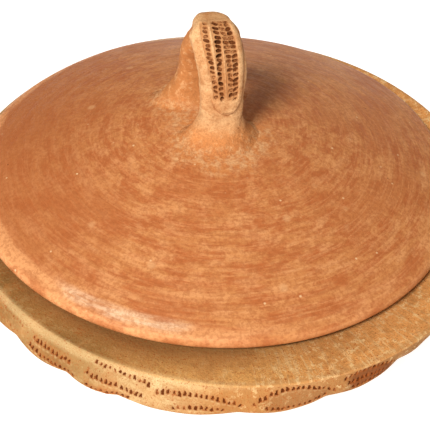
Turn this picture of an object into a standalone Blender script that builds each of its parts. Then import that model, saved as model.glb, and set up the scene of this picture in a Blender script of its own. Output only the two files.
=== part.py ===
"""A lidded cooking pot of plain fired clay: a wide dish with a thick stamped rim,
and a low domed lid with a strap handle, resting loose on the rim's ledge.

The frame: +Z up, origin at the centre of the dish's flat underside, metres.
Azimuths are turned about Z from the front (-Y) towards +X.
"""
import math

import bmesh
import bpy
from mathutils import Vector

# Driving dimensions of the dish
CREST_RADIUS = 0.1537
CREST_HEIGHT = 0.0620
BASE_RADIUS = 0.0900
FLOOR_THICKNESS = 0.0100
LEDGE_INNER_RADIUS = 0.1260
LEDGE_SLOPE_AT_CREST = 0.05
LEDGE_SLOPE_AT_INNER = 0.30
SIDE_REACH = 0.0010
SIDE_DROP = 0.0116
SIDE_BOW = 0.0006
CREST_ROUNDING = (0.0008, 0.0020)
CREST_SOFTENING = 0.0005
RIM_UNDERSIDE = 0.0430
RIM_UNDERSIDE_RADIUS = 0.1465
LOWER_CORNER = (0.0035, 0.0030)
WALL_RADIUS_UNDER_RIM = 0.1400
WALL_TOP_BELOW_RIM = 0.0050
WALL_BOW = 0.0065
FOOT_BEVEL = (0.0040, 0.0012)
FLOOR_RADIUS = 0.0800
INSIDE_BOW = 0.0105
THROAT = (0.0035, 0.0045)
LEDGE_SHARES = (0.30, 0.62, 0.88)

# The wavy band pressed into the rim's side
LOBE_COUNT = 24
LOBE_BULGE = 0.0023
LOBE_DIP = 0.0018
LOBE_SHAPE = 0.6
# azimuths of the notches between the lobes in front, which are uneven; the rest are even
FRONT_NOTCHES_DEG = (-55.0, -40.1, -27.0, -16.5, 4.8, 21.0, 37.5, 51.5)
STEPS_PER_LOBE = 6
RIM_ZONE_BELOW = 0.0060
PRESSED_FROM = 0.0008
PRESSED_HEIGHTS = (RIM_UNDERSIDE - 0.0030, CREST_HEIGHT - SIDE_DROP - 0.0010)

# Handmade unevenness of the rim: out of round, and its side leaning out more on some sides
RIM_OUT_OF_ROUND = 0.0011
RIM_OUT_OF_ROUND_WAVES = 3.0
LEAN_TO_FRONT = 0.0038
LEAN_TO_FRONT_DEG = 47.0
LEAN_BOTH_WAYS = 0.0052
LEAN_BOTH_WAYS_DEG = 14.0
LEAN_EVERYWHERE = -0.0033
LEAN_LEAST = -0.0066
DEPTH_BOTH_WAYS = 0.0025

# Driving dimensions of the lid
LID_RADIUS = 0.1400
LID_CENTRE = (-0.0074, 0.0070)
LID_BASE = CREST_HEIGHT + 0.0001
DOME_HEIGHT = 0.0399
DOME_SHOULDER_RADIUS = 0.1345
DOME_SHOULDER_HEIGHT = 0.0080
DOME_POWER = 1.5
DOME_RADII = (0.0, 0.020, 0.045, 0.070, 0.093, 0.113, 0.127)
LID_THICKNESS = 0.0070
LID_INNER_RADII = (0.1240, 0.1080, 0.0860, 0.0600, 0.0300, 0.0)
# the lip, as (inside the lid's edge, above its lower edge)
LIP = ((0.0018, 0.0062), (0.0, 0.0036), (0.0008, 0.0012), (0.0034, 0.0), (0.0078, 0.0004))
LID_STEPS = 84

# Driving dimensions of the strap handle, from the lid's centre and lower edge
# as (along the handle from front to rear, height)
HANDLE_TURN_DEG = 13.0
FRONT_NECK = (-0.0165, 0.0530)
FRONT_PULL = (-0.0175, 0.0820)
BEND_PULL = (-0.0180, 0.1022)
PEAK = (-0.0065, 0.1022)
SLOPE_PULL = (0.0020, 0.1022)
REAR_PULL = (0.0205, 0.0840)
REAR_NECK = (0.0232, 0.0600)
PEAK_SHARE = 0.5
STRAP_WIDTH_FRONT = 0.0265
STRAP_WIDTH_TOP = 0.0190
STRAP_WIDTH_NECK = 0.0235
STRAP_THICKNESS_LEG = 0.0140
STRAP_THICKNESS_TOP = 0.0110
STRAP_ROUNDING = (0.62, 0.72)
LEAN_AT_FRONT = -0.0025
LEAN_AT_TOP = -0.0072
LEAN_AT_REAR = -0.0080
# shares of the strap's way over which it changes, counted from the front leg's neck
BROADENS = (0.05, 0.22)
NARROWS = (0.40, 0.52)
LEANS = (0.10, 0.45)
GOES_DOWN = (0.55, 1.0)
# the rear leg is pinched narrower below the top, more on its left
PINCH_WIDTH = 0.0040
PINCH_SHIFT = 0.0013
PINCH_STARTS = (0.59, 0.78)
PINCH_ENDS = (0.78, 0.92)
SHARE_STEP = 0.01
FOOT_SPREAD_FRONT = (0.0110, 0.0100)
FOOT_SPREAD_REAR = (0.0170, 0.0095)
FOOT_HOLLOW = 0.75
FOOT_SINK = 0.0020
STRAP_SIDES = 16
ARCH_STATIONS = 16
FOOT_STATIONS = 4

MERGE_DISTANCE = 0.00005
SHARP_ANGLE = math.radians(50.0)


def clear_scene():
    for old in list(bpy.data.objects):
        bpy.data.objects.remove(old, do_unlink=True)


def make_collection(name):
    collection = bpy.data.collections.new(name)
    bpy.context.scene.collection.children.link(collection)
    return collection


def clay(name, color, roughness):
    """A plain matt fired clay."""
    material = bpy.data.materials.new(name)
    material.use_nodes = True
    shader = material.node_tree.nodes["Principled BSDF"]
    shader.inputs["Base Color"].default_value = (*color, 1.0)
    shader.inputs["Roughness"].default_value = roughness
    shader.inputs["Metallic"].default_value = 0.0
    return material


def smooth(value, low, high):
    """An even blend from 0 at low to 1 at high."""
    t = min(max((value - low) / (high - low), 0.0), 1.0)
    return t * t * (3.0 - 2.0 * t)


def turned(name, profile, steps, collection):
    """A solid turned about Z from a profile of (radius, height) points, from pole to pole."""
    mesh = bpy.data.meshes.new(name + "_profile")
    points = [(radius, 0.0, height) for radius, height in profile]
    edges = [(i, i + 1) for i in range(len(points) - 1)]
    mesh.from_pydata(points, edges, [])
    guide = bpy.data.objects.new(name + "_profile", mesh)
    collection.objects.link(guide)
    screw = guide.modifiers.new("Turn", "SCREW")
    screw.steps = steps
    screw.render_steps = steps
    screw.use_merge_vertices = True
    screw.merge_threshold = MERGE_DISTANCE
    screw.use_smooth_shade = True
    return mesh_of(guide, name, collection)


def mesh_of(source, name, collection):
    """A mesh object with the evaluated shape of source, which is removed."""
    evaluated = source.evaluated_get(bpy.context.evaluated_depsgraph_get())
    mesh = bpy.data.meshes.new_from_object(evaluated)
    mesh.name = name
    result = bpy.data.objects.new(name, mesh)
    result.matrix_world = source.matrix_world
    bpy.data.objects.remove(source, do_unlink=True)
    collection.objects.link(result)
    return result


def ledge_height(radius):
    """The ledge falls inwards from the crest, and ever more steeply."""
    inward = CREST_RADIUS - radius
    span = CREST_RADIUS - LEDGE_INNER_RADIUS
    steepening = (LEDGE_SLOPE_AT_INNER - LEDGE_SLOPE_AT_CREST) / (2.0 * span)
    return CREST_HEIGHT - LEDGE_SLOPE_AT_CREST * inward - steepening * inward ** 2


def arc(start, end, bulge, count):
    """Points after start up to end on a line bowed sideways by bulge, to the left of its way."""
    points = []
    run = (end[0] - start[0], end[1] - start[1])
    length = math.hypot(*run)
    left = (-run[1] / length, run[0] / length)
    for i in range(1, count + 1):
        t = i / count
        bow = 4.0 * bulge * t * (1.0 - t)
        points.append((start[0] + run[0] * t + left[0] * bow, start[1] + run[1] * t + left[1] * bow))
    return points


def dish_profile():
    """From the floor's centre up the inside, over the ledge and down the outside to the base."""
    floor_edge = (FLOOR_RADIUS, FLOOR_THICKNESS)
    ledge_start = (LEDGE_INNER_RADIUS, ledge_height(LEDGE_INNER_RADIUS))
    throat = (ledge_start[0] - THROAT[0], ledge_start[1] - THROAT[1])
    inside = [(0.0, FLOOR_THICKNESS), floor_edge]
    inside += arc(floor_edge, throat, -INSIDE_BOW, 6)
    ledge = [ledge_start]
    for share in LEDGE_SHARES:
        radius = LEDGE_INNER_RADIUS + share * (CREST_RADIUS - LEDGE_INNER_RADIUS)
        ledge.append((radius, ledge_height(radius)))
    side_top = (CREST_RADIUS + CREST_ROUNDING[0], CREST_HEIGHT - CREST_ROUNDING[1])
    side_foot = (CREST_RADIUS + SIDE_REACH, CREST_HEIGHT - SIDE_DROP)
    side = [(CREST_RADIUS, CREST_HEIGHT - CREST_SOFTENING)]
    side += arc(side_top, side_foot, SIDE_BOW, 3)
    corner = (side_foot[0] - LOWER_CORNER[0], side_foot[1] - LOWER_CORNER[1])
    wall_top = (WALL_RADIUS_UNDER_RIM, RIM_UNDERSIDE - WALL_TOP_BELOW_RIM)
    under = [corner, (RIM_UNDERSIDE_RADIUS, RIM_UNDERSIDE), wall_top]
    wall = arc(wall_top, (BASE_RADIUS + FOOT_BEVEL[0], FOOT_BEVEL[1]), WALL_BOW, 4)
    base = [(BASE_RADIUS, 0.0), (0.0, 0.0)]
    return inside + ledge + side + under + wall + base


def lobe_turns(degrees):
    """Lobes counted from the front's first notch, or from its last one beyond that."""
    first = FRONT_NOTCHES_DEG[0]
    last = FRONT_NOTCHES_DEG[-1]
    even = (360.0 - last + first) / (LOBE_COUNT - len(FRONT_NOTCHES_DEG) + 1)
    if degrees < first:
        return (degrees - first) / even
    for count, (low, high) in enumerate(zip(FRONT_NOTCHES_DEG, FRONT_NOTCHES_DEG[1:])):
        if degrees < high:
            return count + (degrees - low) / (high - low)
    return (degrees - last) / even


def lobe_bulge(azimuth):
    """0 at the pinched notch between two lobes and 1 at a lobe's middle."""
    return abs(math.sin(math.pi * lobe_turns(math.degrees(azimuth)))) ** LOBE_SHAPE


def rim_wobble(azimuth):
    """The rim is pulled out of round by about a millimetre."""
    return RIM_OUT_OF_ROUND * math.sin(RIM_OUT_OF_ROUND_WAVES * azimuth)


def both_ways(azimuth):
    """1 at the front left and the rear right, -1 across from them."""
    return math.cos(2.0 * (azimuth + math.radians(LEAN_BOTH_WAYS_DEG)))


def side_reach_change(azimuth):
    """The side leans out furthest at the front left, and draws in a little at the right."""
    to_front = LEAN_TO_FRONT * math.cos(azimuth + math.radians(LEAN_TO_FRONT_DEG))
    return max(to_front + LEAN_BOTH_WAYS * both_ways(azimuth) + LEAN_EVERYWHERE, LEAN_LEAST)


def side_drop_change(azimuth):
    """The side is deeper where it leans out."""
    return DEPTH_BOTH_WAYS * both_ways(azimuth)


def press_rim(dish):
    """Pulls the turned rim out of round, and presses its side into lobes."""
    low, high = PRESSED_HEIGHTS
    for vertex in dish.data.vertices:
        x, y, z = vertex.co
        radius = math.hypot(x, y)
        if radius < LEDGE_INNER_RADIUS or z < RIM_UNDERSIDE - RIM_ZONE_BELOW:
            continue
        azimuth = math.atan2(x, -y)
        from_inner = smooth(radius, LEDGE_INNER_RADIUS, CREST_RADIUS)
        down = smooth(CREST_HEIGHT - z, PRESSED_FROM, SIDE_DROP)
        back = smooth(z, low, high)
        on_side = down * back if radius > WALL_RADIUS_UNDER_RIM else 0.0
        bulge = lobe_bulge(azimuth)
        reach = side_reach_change(azimuth) + LOBE_BULGE * bulge
        new_radius = radius + from_inner * rim_wobble(azimuth) + on_side * reach
        vertex.co.x = x * new_radius / radius
        vertex.co.y = y * new_radius / radius
        vertex.co.z = z - on_side * (side_drop_change(azimuth) + LOBE_DIP * bulge)


def make_base_one_face(dish):
    """Takes out the middle vertex of the flat underside."""
    bm = bmesh.new()
    bm.from_mesh(dish.data)
    middle = [v for v in bm.verts if v.co.length < MERGE_DISTANCE]
    bmesh.ops.dissolve_verts(bm, verts=middle)
    bm.to_mesh(dish.data)
    bm.free()


def finish_shading(solid, material):
    """Smooth faces with sharp corners, and the piece's one material."""
    solid.data.shade_smooth()
    solid.data.set_sharp_from_angle(angle=SHARP_ANGLE)
    solid.data.materials.append(material)


def make_dish(collection):
    """The dish, one turned shell with its rim shaped by hand."""
    dish = turned("dish", dish_profile(), LOBE_COUNT * STEPS_PER_LOBE, collection)
    press_rim(dish)
    make_base_one_face(dish)
    finish_shading(dish, clay("buff_clay", (0.58, 0.31, 0.125), 0.82))


def dome_height(radius):
    """The dome's outer face above the lid's lower edge: a power curve from the apex."""
    share = min(radius / DOME_SHOULDER_RADIUS, 1.0)
    return DOME_HEIGHT - (DOME_HEIGHT - DOME_SHOULDER_HEIGHT) * share ** DOME_POWER


def lid_profile():
    """From the apex down the dome, round the lip, and back up under the dome to the middle."""
    outside = [(radius, LID_BASE + dome_height(radius)) for radius in (*DOME_RADII, DOME_SHOULDER_RADIUS)]
    lip = [(LID_RADIUS - inset, LID_BASE + height) for inset, height in LIP]
    under = LID_BASE - LID_THICKNESS
    inside = [(radius, under + dome_height(radius)) for radius in LID_INNER_RADII]
    return outside + lip + inside


def bezier(start, first, second, end, t):
    """A point of a cubic curve."""
    u = 1.0 - t
    weights = (u ** 3, 3.0 * u * u * t, 3.0 * u * t * t, t ** 3)
    return tuple(sum(w * p[axis] for w, p in zip(weights, (start, first, second, end))) for axis in (0, 1))


def arch_point(share):
    """The strap's middle line: upright at the front, a tight bend at the top, a slope to the rear."""
    if share < PEAK_SHARE:
        return bezier(FRONT_NECK, FRONT_PULL, BEND_PULL, PEAK, share / PEAK_SHARE)
    return bezier(PEAK, SLOPE_PULL, REAR_PULL, REAR_NECK, (share - PEAK_SHARE) / (1.0 - PEAK_SHARE))


def pinch(share):
    """1 where the rear leg is pinched, 0 away from there."""
    return smooth(share, *PINCH_STARTS) * (1.0 - smooth(share, *PINCH_ENDS))


def strap_width(share):
    """Broad where the stamped panel lies, narrow over the top and down the rear leg."""
    panel = STRAP_WIDTH_NECK + (STRAP_WIDTH_FRONT - STRAP_WIDTH_NECK) * smooth(share, *BROADENS)
    top = panel + (STRAP_WIDTH_TOP - STRAP_WIDTH_FRONT) * smooth(share, *NARROWS)
    return top + (STRAP_WIDTH_NECK - STRAP_WIDTH_TOP) * smooth(share, *GOES_DOWN) - PINCH_WIDTH * pinch(share)


def strap_thickness(share):
    """Thinner over the top than in the legs."""
    return STRAP_THICKNESS_TOP + (STRAP_THICKNESS_LEG - STRAP_THICKNESS_TOP) * abs(2.0 * share - 1.0)


def strap_lean(share):
    """How far the strap's middle stands to the side, because the handle leans."""
    front = LEAN_AT_FRONT + (LEAN_AT_TOP - LEAN_AT_FRONT) * smooth(share, *LEANS)
    return front + (LEAN_AT_REAR - LEAN_AT_TOP) * smooth(share, *GOES_DOWN) + PINCH_SHIFT * pinch(share)


def section(width, thickness):
    """A rounded oblong, as (across the strap, through its thickness) pairs."""
    points = []
    for i in range(STRAP_SIDES):
        angle = 2.0 * math.pi * (i + 0.5) / STRAP_SIDES
        c = math.cos(angle)
        s = math.sin(angle)
        across = 0.5 * width * math.copysign(abs(c) ** STRAP_ROUNDING[0], c)
        through = 0.5 * thickness * math.copysign(abs(s) ** STRAP_ROUNDING[1], s)
        points.append((across, through))
    return points


def handle_to_world(along, across, height):
    """From the handle's own directions to the part's frame."""
    turn = math.radians(HANDLE_TURN_DEG)
    x = LID_CENTRE[0] - along * math.sin(turn) + across * math.cos(turn)
    y = LID_CENTRE[1] + along * math.cos(turn) + across * math.sin(turn)
    return Vector((x, y, LID_BASE + height))


def foot_ring(neck, lean, spread, share):
    """A ring of a leg's foot, from the neck at 0 down a hollow flare to the dome at 1."""
    angle = 0.5 * math.pi * share
    flare = (1.0 - math.cos(angle)) ** FOOT_HOLLOW
    width = STRAP_WIDTH_NECK + 2.0 * spread[0] * flare
    thickness = STRAP_THICKNESS_LEG + 2.0 * spread[1] * flare
    ring = []
    for across, through in section(width, thickness):
        surface = dome_height(math.hypot(neck[0] + through, lean + across)) - FOOT_SINK
        height = neck[1] + (surface - neck[1]) * math.sin(angle)
        ring.append(handle_to_world(neck[0] + through, lean + across, height))
    return ring


def arch_ring(share):
    """A ring of the strap, square to its middle line."""
    along, height = arch_point(share)
    before = arch_point(max(share - SHARE_STEP, 0.0))
    after = arch_point(min(share + SHARE_STEP, 1.0))
    run = Vector((after[0] - before[0], after[1] - before[1])).normalized()
    ring = []
    for across, through in section(strap_width(share), strap_thickness(share)):
        ring.append(handle_to_world(along + through * run.y, strap_lean(share) + across,
                                    height - through * run.x))
    return ring


def handle_rings():
    """All rings of the handle, from the front foot over the arch to the rear foot."""
    front = (FRONT_NECK, strap_lean(0.0), FOOT_SPREAD_FRONT)
    rear = (REAR_NECK, strap_lean(1.0), FOOT_SPREAD_REAR)
    rings = [foot_ring(*front, i / FOOT_STATIONS) for i in range(FOOT_STATIONS, 0, -1)]
    for i in range(ARCH_STATIONS + 1):
        rings.append(arch_ring(i / ARCH_STATIONS))
    for i in range(1, FOOT_STATIONS + 1):
        rings.append(list(reversed(foot_ring(*rear, i / FOOT_STATIONS))))
    return rings


def loft(name, rings, collection):
    """A closed solid through a row of like rings."""
    bm = bmesh.new()
    rows = [[bm.verts.new(point) for point in ring] for ring in rings]
    for row, following in zip(rows, rows[1:]):
        for i in range(len(row)):
            j = (i + 1) % len(row)
            bm.faces.new((row[i], row[j], following[j], following[i]))
    bm.faces.new(list(reversed(rows[0])))
    bm.faces.new(rows[-1])
    bmesh.ops.recalc_face_normals(bm, faces=bm.faces)
    mesh = bpy.data.meshes.new(name)
    bm.to_mesh(mesh)
    bm.free()
    solid = bpy.data.objects.new(name, mesh)
    collection.objects.link(solid)
    return solid


def make_lid(collection):
    """The lid, a turned dome with its strap handle joined on as one piece of clay."""
    dome = turned("dome", lid_profile(), LID_STEPS, collection)
    dome.location = (LID_CENTRE[0], LID_CENTRE[1], 0.0)
    handle = loft("handle", handle_rings(), collection)
    join = dome.modifiers.new("Join handle", "BOOLEAN")
    join.operation = "UNION"
    join.solver = "EXACT"
    join.object = handle
    bpy.context.view_layer.update()
    lid = mesh_of(dome, "lid", collection)
    bpy.data.objects.remove(handle, do_unlink=True)
    finish_shading(lid, clay("red_clay", (0.54, 0.23, 0.095), 0.72))


def main():
    clear_scene()
    parts = make_collection("lidded_clay_pot")
    make_dish(parts)
    make_lid(parts)


main()
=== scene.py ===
"""Dresses a lidded clay cooking pot: the dish with its stamped wavy rim, the burnished lid
with its strap handle, and the leaf-shaped stamped panel on the handle's front.

Lengths are metres in the part's own frame: +Z up, the front towards -Y.
Azimuths are turned about Z from the front (-Y) towards +X.
"""
import math

import bpy
import numpy as np
from bpy.props import FloatProperty, FloatVectorProperty, IntProperty, PointerProperty
from bpy.types import Operator, Panel, PropertyGroup
from mathutils import Matrix, Vector


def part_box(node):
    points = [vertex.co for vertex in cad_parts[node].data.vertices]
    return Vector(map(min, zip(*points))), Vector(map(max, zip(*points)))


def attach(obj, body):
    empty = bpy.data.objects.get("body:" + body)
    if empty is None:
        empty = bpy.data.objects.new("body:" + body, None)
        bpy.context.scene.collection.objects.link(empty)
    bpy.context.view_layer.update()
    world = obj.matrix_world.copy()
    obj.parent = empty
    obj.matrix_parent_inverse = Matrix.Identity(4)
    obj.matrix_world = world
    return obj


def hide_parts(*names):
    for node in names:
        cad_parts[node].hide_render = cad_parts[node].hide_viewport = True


bl_info = {
    "name": "Lidded clay pot",
    "version": (1, 0, 0),
    "blender": (4, 5, 0),
    "location": "3D View > Sidebar > Clay pot",
    "description": "A lidded clay cooking pot with a stamped rim and a strap handle",
    "category": "Add Mesh",
}

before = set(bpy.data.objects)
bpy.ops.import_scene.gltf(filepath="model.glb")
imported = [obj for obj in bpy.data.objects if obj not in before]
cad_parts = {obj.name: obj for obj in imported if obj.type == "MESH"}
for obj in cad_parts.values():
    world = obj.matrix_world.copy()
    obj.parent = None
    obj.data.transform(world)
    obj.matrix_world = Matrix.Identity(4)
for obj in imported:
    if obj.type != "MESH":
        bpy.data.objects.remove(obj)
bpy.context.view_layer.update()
lid_low, lid_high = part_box("lid")

# The lid's centre, the middle of its box, lies over the dish's left rear
LID_CENTRE = (0.5 * (lid_low.x + lid_high.x), 0.5 * (lid_low.y + lid_high.y))
LID_BASE = lid_low.z


# Sizes and colours a maker would change

class DishSettings(PropertyGroup):
    """The dish's sizes and clay colours."""

    crest_radius: FloatProperty(
        name="Crest radius", description="From the middle to the rim's crest",
        default=0.1537, unit="LENGTH")
    crest_height: FloatProperty(
        name="Crest height", description="From the table to the rim's crest",
        default=0.0620, unit="LENGTH")
    ledge_inner_radius: FloatProperty(
        name="Ledge inner radius", description="Where the ledge turns down into the dish",
        default=0.1260, unit="LENGTH")
    base_radius: FloatProperty(
        name="Base radius", description="Radius of the flat underside",
        default=0.0900, unit="LENGTH")
    floor_thickness: FloatProperty(
        name="Floor thickness", description="Clay under the dish's inside",
        default=0.0100, unit="LENGTH")
    side_drop: FloatProperty(
        name="Side height", description="Height of the rim's stamped side",
        default=0.0116, unit="LENGTH")
    underside: FloatProperty(
        name="Rim underside", description="Height of the rim's underside above the table",
        default=0.0430, unit="LENGTH")
    lobe_bulge: FloatProperty(
        name="Lobe bulge", description="How far a lobe stands out between its notches",
        default=0.0023, unit="LENGTH")
    punch_depth: FloatProperty(
        name="Punch depth", description="Depth of a stamped mark", default=0.0011, unit="LENGTH")
    columns: IntProperty(name="Columns", description="Points round the dish", default=1000)
    clay_left: FloatVectorProperty(
        name="Olive clay", description="The clay's colour at the left",
        default=(0.178, 0.100, 0.029), subtype="COLOR")
    clay: FloatVectorProperty(
        name="Buff clay", description="The clay's colour in front",
        default=(0.70, 0.375, 0.122), subtype="COLOR")
    clay_right: FloatVectorProperty(
        name="Orange clay", description="The clay's colour at the right",
        default=(0.74, 0.345, 0.112), subtype="COLOR")
    clay_side: FloatVectorProperty(
        name="Scraped side", description="The pale scraped clay of the rim's side",
        default=(0.66, 0.500, 0.262), subtype="COLOR")
    # Brown laid in the stamped marks and the scored groove: partly a stain, partly painted shade in their
    # hollows
    stain_and_shade: FloatVectorProperty(
        name="Stain", description="Brown of the stamped marks",
        default=(0.160, 0.039, 0.007), subtype="COLOR")


class LidSettings(PropertyGroup):
    """The lid's sizes and clay colours."""

    radius: FloatProperty(
        name="Lid radius", description="From the lid's middle to its edge",
        default=0.1400, unit="LENGTH")
    dome_height: FloatProperty(
        name="Dome height", description="The dome's top above the lid's lower edge",
        default=0.0399, unit="LENGTH")
    shoulder_radius: FloatProperty(
        name="Shoulder radius", description="Where the dome turns into the lip",
        default=0.1345, unit="LENGTH")
    shoulder_height: FloatProperty(
        name="Shoulder height", description="Height of that turn above the lower edge",
        default=0.0080, unit="LENGTH")
    thickness: FloatProperty(
        name="Thickness", description="The dome's clay", default=0.0070, unit="LENGTH")
    columns: IntProperty(name="Columns", description="Points round the lid", default=900)
    clay: FloatVectorProperty(
        name="Red clay", description="The lid's main colour",
        default=(0.55, 0.230, 0.082), subtype="COLOR")
    clay_pale: FloatVectorProperty(
        name="Pale streaks", description="Lighter burnishing streaks",
        default=(0.68, 0.330, 0.145), subtype="COLOR")
    clay_dark: FloatVectorProperty(
        name="Red streaks", description="Darker burnishing streaks",
        default=(0.44, 0.135, 0.043), subtype="COLOR")


class HandleSettings(PropertyGroup):
    """The strap handle's sizes and clay colours."""

    turn: FloatProperty(
        name="Turn", description="How far the handle is turned about Z",
        default=math.radians(13.0), subtype="ANGLE")
    width: FloatProperty(
        name="Panel width", description="The strap's width at its stamped front",
        default=0.0265, unit="LENGTH")
    top_width: FloatProperty(
        name="Top width", description="The strap's width over the top",
        default=0.0190, unit="LENGTH")
    neck_width: FloatProperty(
        name="Neck width", description="The strap's width above its feet",
        default=0.0235, unit="LENGTH")
    leg_thickness: FloatProperty(
        name="Leg thickness", description="The strap's thickness at its necks",
        default=0.0140, unit="LENGTH")
    top_thickness: FloatProperty(
        name="Top thickness", description="The strap's thickness over the top",
        default=0.0110, unit="LENGTH")
    panel_lift: FloatProperty(
        name="Panel lift", description="How far the stamped panel stands off the strap",
        default=0.0013, unit="LENGTH")
    clay: FloatVectorProperty(
        name="Handle clay", description="The handle's main colour",
        default=(0.67, 0.412, 0.210), subtype="COLOR")
    clay_low: FloatVectorProperty(
        name="Foot clay", description="The handle's colour near the dome",
        default=(0.60, 0.240, 0.080), subtype="COLOR")
    # Brown laid in the punches, partly a stain and partly painted shade in their hollows, and as painted
    # shade in the crease round the panel
    stain_and_shade: FloatVectorProperty(
        name="Punch brown", description="Brown of the panel's punches",
        default=(0.140, 0.038, 0.008), subtype="COLOR")


class StageSettings(PropertyGroup):
    """Light, floor and camera."""

    key_power: FloatProperty(
        name="Key light", description="Power of the soft light at the front left",
        default=140.0, unit="POWER")
    fill: FloatProperty(
        name="Fill", description="Brightness of the warm surroundings", default=0.20)
    front_power: FloatProperty(
        name="Front fill", description="Power of the low broad light in front",
        default=5.0, unit="POWER")
    back_power: FloatProperty(
        name="Back light", description="Power of the broad white light behind",
        default=7.0, unit="POWER")
    floor: FloatVectorProperty(
        name="Floor", description="The floor's colour", default=(0.4, 0.4, 0.4), subtype="COLOR")


# Curves and grids

def eased(value, low, high):
    """Smooth step: 0 at low, 1 at high, level at both ends."""
    t = np.clip((value - low) / (high - low), 0.0, 1.0)
    return t * t * (3.0 - 2.0 * t)


def hump(value, rise, fall):
    """1 between two soft steps: it rises over one range and falls over the other."""
    return eased(value, *rise) * (1.0 - eased(value, *fall))


def scatter(number, salt):
    """An even spread of values between -1 and 1 from whole numbers: the far digits of a sine."""
    far = np.sin(number * 12.9898 + salt * 78.233) * 43758.5453
    return 2.0 * (far - np.floor(far)) - 1.0


def bowed(start, end, bulge, count):
    """Points after start up to end on a straight run bowed to its left by 4 b t (1 - t)."""
    start, end = np.array(start), np.array(end)
    t = np.arange(1, count + 1)[:, None] / count
    run = end - start
    left = np.array((-run[1], run[0])) / np.hypot(*run)
    return start + run * t + left * 4.0 * bulge * t * (1.0 - t)


def rounded(line, times):
    """A profile with its corners cut: each piece keeps its middle half, times over."""
    for _ in range(times):
        early, late = line[:-1], line[1:]
        cuts = np.stack((0.75 * early + 0.25 * late, 0.25 * early + 0.75 * late), axis=1)
        line = np.vstack((line[:1], cuts.reshape(-1, 2), line[-1:]))
    return line


def way_along(line):
    """The length from a profile's start to each of its points."""
    steps = np.hypot(*np.diff(line, axis=0).T)
    return np.concatenate(((0.0,), np.cumsum(steps)))


def points_at(line, ways):
    """The profile's points at the given lengths along it."""
    along = way_along(line)
    return np.stack((np.interp(ways, along, line[:, 0]), np.interp(ways, along, line[:, 1])), axis=-1)


def azimuths(columns):
    """Even turns about Z from the rear to the rear again, one a column."""
    return np.linspace(-math.pi, math.pi, columns, endpoint=False)


def around(radius, azimuth, height, centre=(0.0, 0.0)):
    """Points of a turned surface: x = r sin a, y = -r cos a."""
    x = centre[0] + radius * np.sin(azimuth)
    y = centre[1] - radius * np.cos(azimuth)
    return np.stack(np.broadcast_arrays(x, y, height), axis=-1)


def skin(name, grid, rows_closed=False, first_pole=None, last_pole=None, sharp_rows=(), values=None):
    """A closed mesh over a grid of points (rows, columns, 3) whose columns run round.

    The rows join their neighbours, and the first and last row close on a pole or on each
    other. Faces are turned over when the signed volume is below zero. The rings named in
    sharp_rows are creases, and values are kept as one number a point.
    """
    rows, columns = grid.shape[:2]
    points = grid.reshape(-1, 3)
    index = np.arange(rows * columns).reshape(rows, columns)
    upper = index if rows_closed else index[:-1]
    lower = np.roll(index, -1, axis=0) if rows_closed else index[1:]
    quads = np.stack((upper, lower, np.roll(lower, -1, 1), np.roll(upper, -1, 1)), axis=-1).reshape(-1, 4)
    fans = []
    for pole, ring, turned in ((first_pole, index[0], False), (last_pole, index[-1], True)):
        if pole is None:
            continue
        points = np.vstack((points, pole))
        tip = np.full(columns, len(points) - 1)
        beside = np.roll(ring, -1)
        fans.append(np.stack((ring, tip, beside) if turned else (tip, ring, beside), axis=-1))
    triangles = np.vstack(fans) if fans else np.zeros((0, 3), int)
    every = np.vstack((quads[:, (0, 1, 2)], quads[:, (0, 2, 3)], triangles))
    a, b, c = points[every[:, 0]], points[every[:, 1]], points[every[:, 2]]
    if np.einsum("ij,ij->", a, np.cross(b, c)) < 0.0:
        quads, triangles = quads[:, ::-1], triangles[:, ::-1]
    mesh = bpy.data.meshes.new(name)
    mesh.vertices.add(len(points))
    mesh.vertices.foreach_set("co", points.astype(np.float32).ravel())
    corners = np.concatenate((quads.ravel(), triangles.ravel()))
    starts = np.concatenate((4 * np.arange(len(quads)), 4 * len(quads) + 3 * np.arange(len(triangles))))
    mesh.loops.add(len(corners))
    mesh.loops.foreach_set("vertex_index", corners.astype(np.int32))
    mesh.polygons.add(len(starts))
    mesh.polygons.foreach_set("loop_start", starts.astype(np.int32))
    mesh.update(calc_edges=True)
    mesh.shade_smooth()
    if sharp_rows:
        ends = np.zeros(2 * len(mesh.edges), np.int32)
        mesh.edges.foreach_get("vertices", ends)
        row = ends.reshape(-1, 2) // columns
        crease = (row[:, 0] == row[:, 1]) & np.isin(row[:, 0], [r % rows for r in sharp_rows])
        mesh.edges.foreach_set("use_edge_sharp", crease)
    for label, numbers in (values or {}).items():
        store = mesh.attributes.new(label, "FLOAT", "POINT")
        padded = np.zeros(len(points), np.float32)
        padded[:rows * columns] = np.broadcast_to(numbers, (rows, columns)).ravel()
        store.data.foreach_set("value", padded)
    return mesh


def place(mesh, material):
    """Shows a mesh as a piece that rides on the pot's one body."""
    piece = bpy.data.objects.new(mesh.name, mesh)
    bpy.context.scene.collection.objects.link(piece)
    mesh.materials.append(material)
    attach(piece, "root")
    return piece


def pushed(grid, depth):
    """A grid moved inwards by depth along its normals, from the grid's own differences."""
    along = np.gradient(grid, axis=0)
    across = 0.5 * (np.roll(grid, -1, axis=1) - np.roll(grid, 1, axis=1))
    normal = np.cross(along, across)
    normal /= np.maximum(np.linalg.norm(normal, axis=-1, keepdims=True), 1e-12)
    return grid - normal * np.asarray(depth)[..., None]


# The dish

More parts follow.
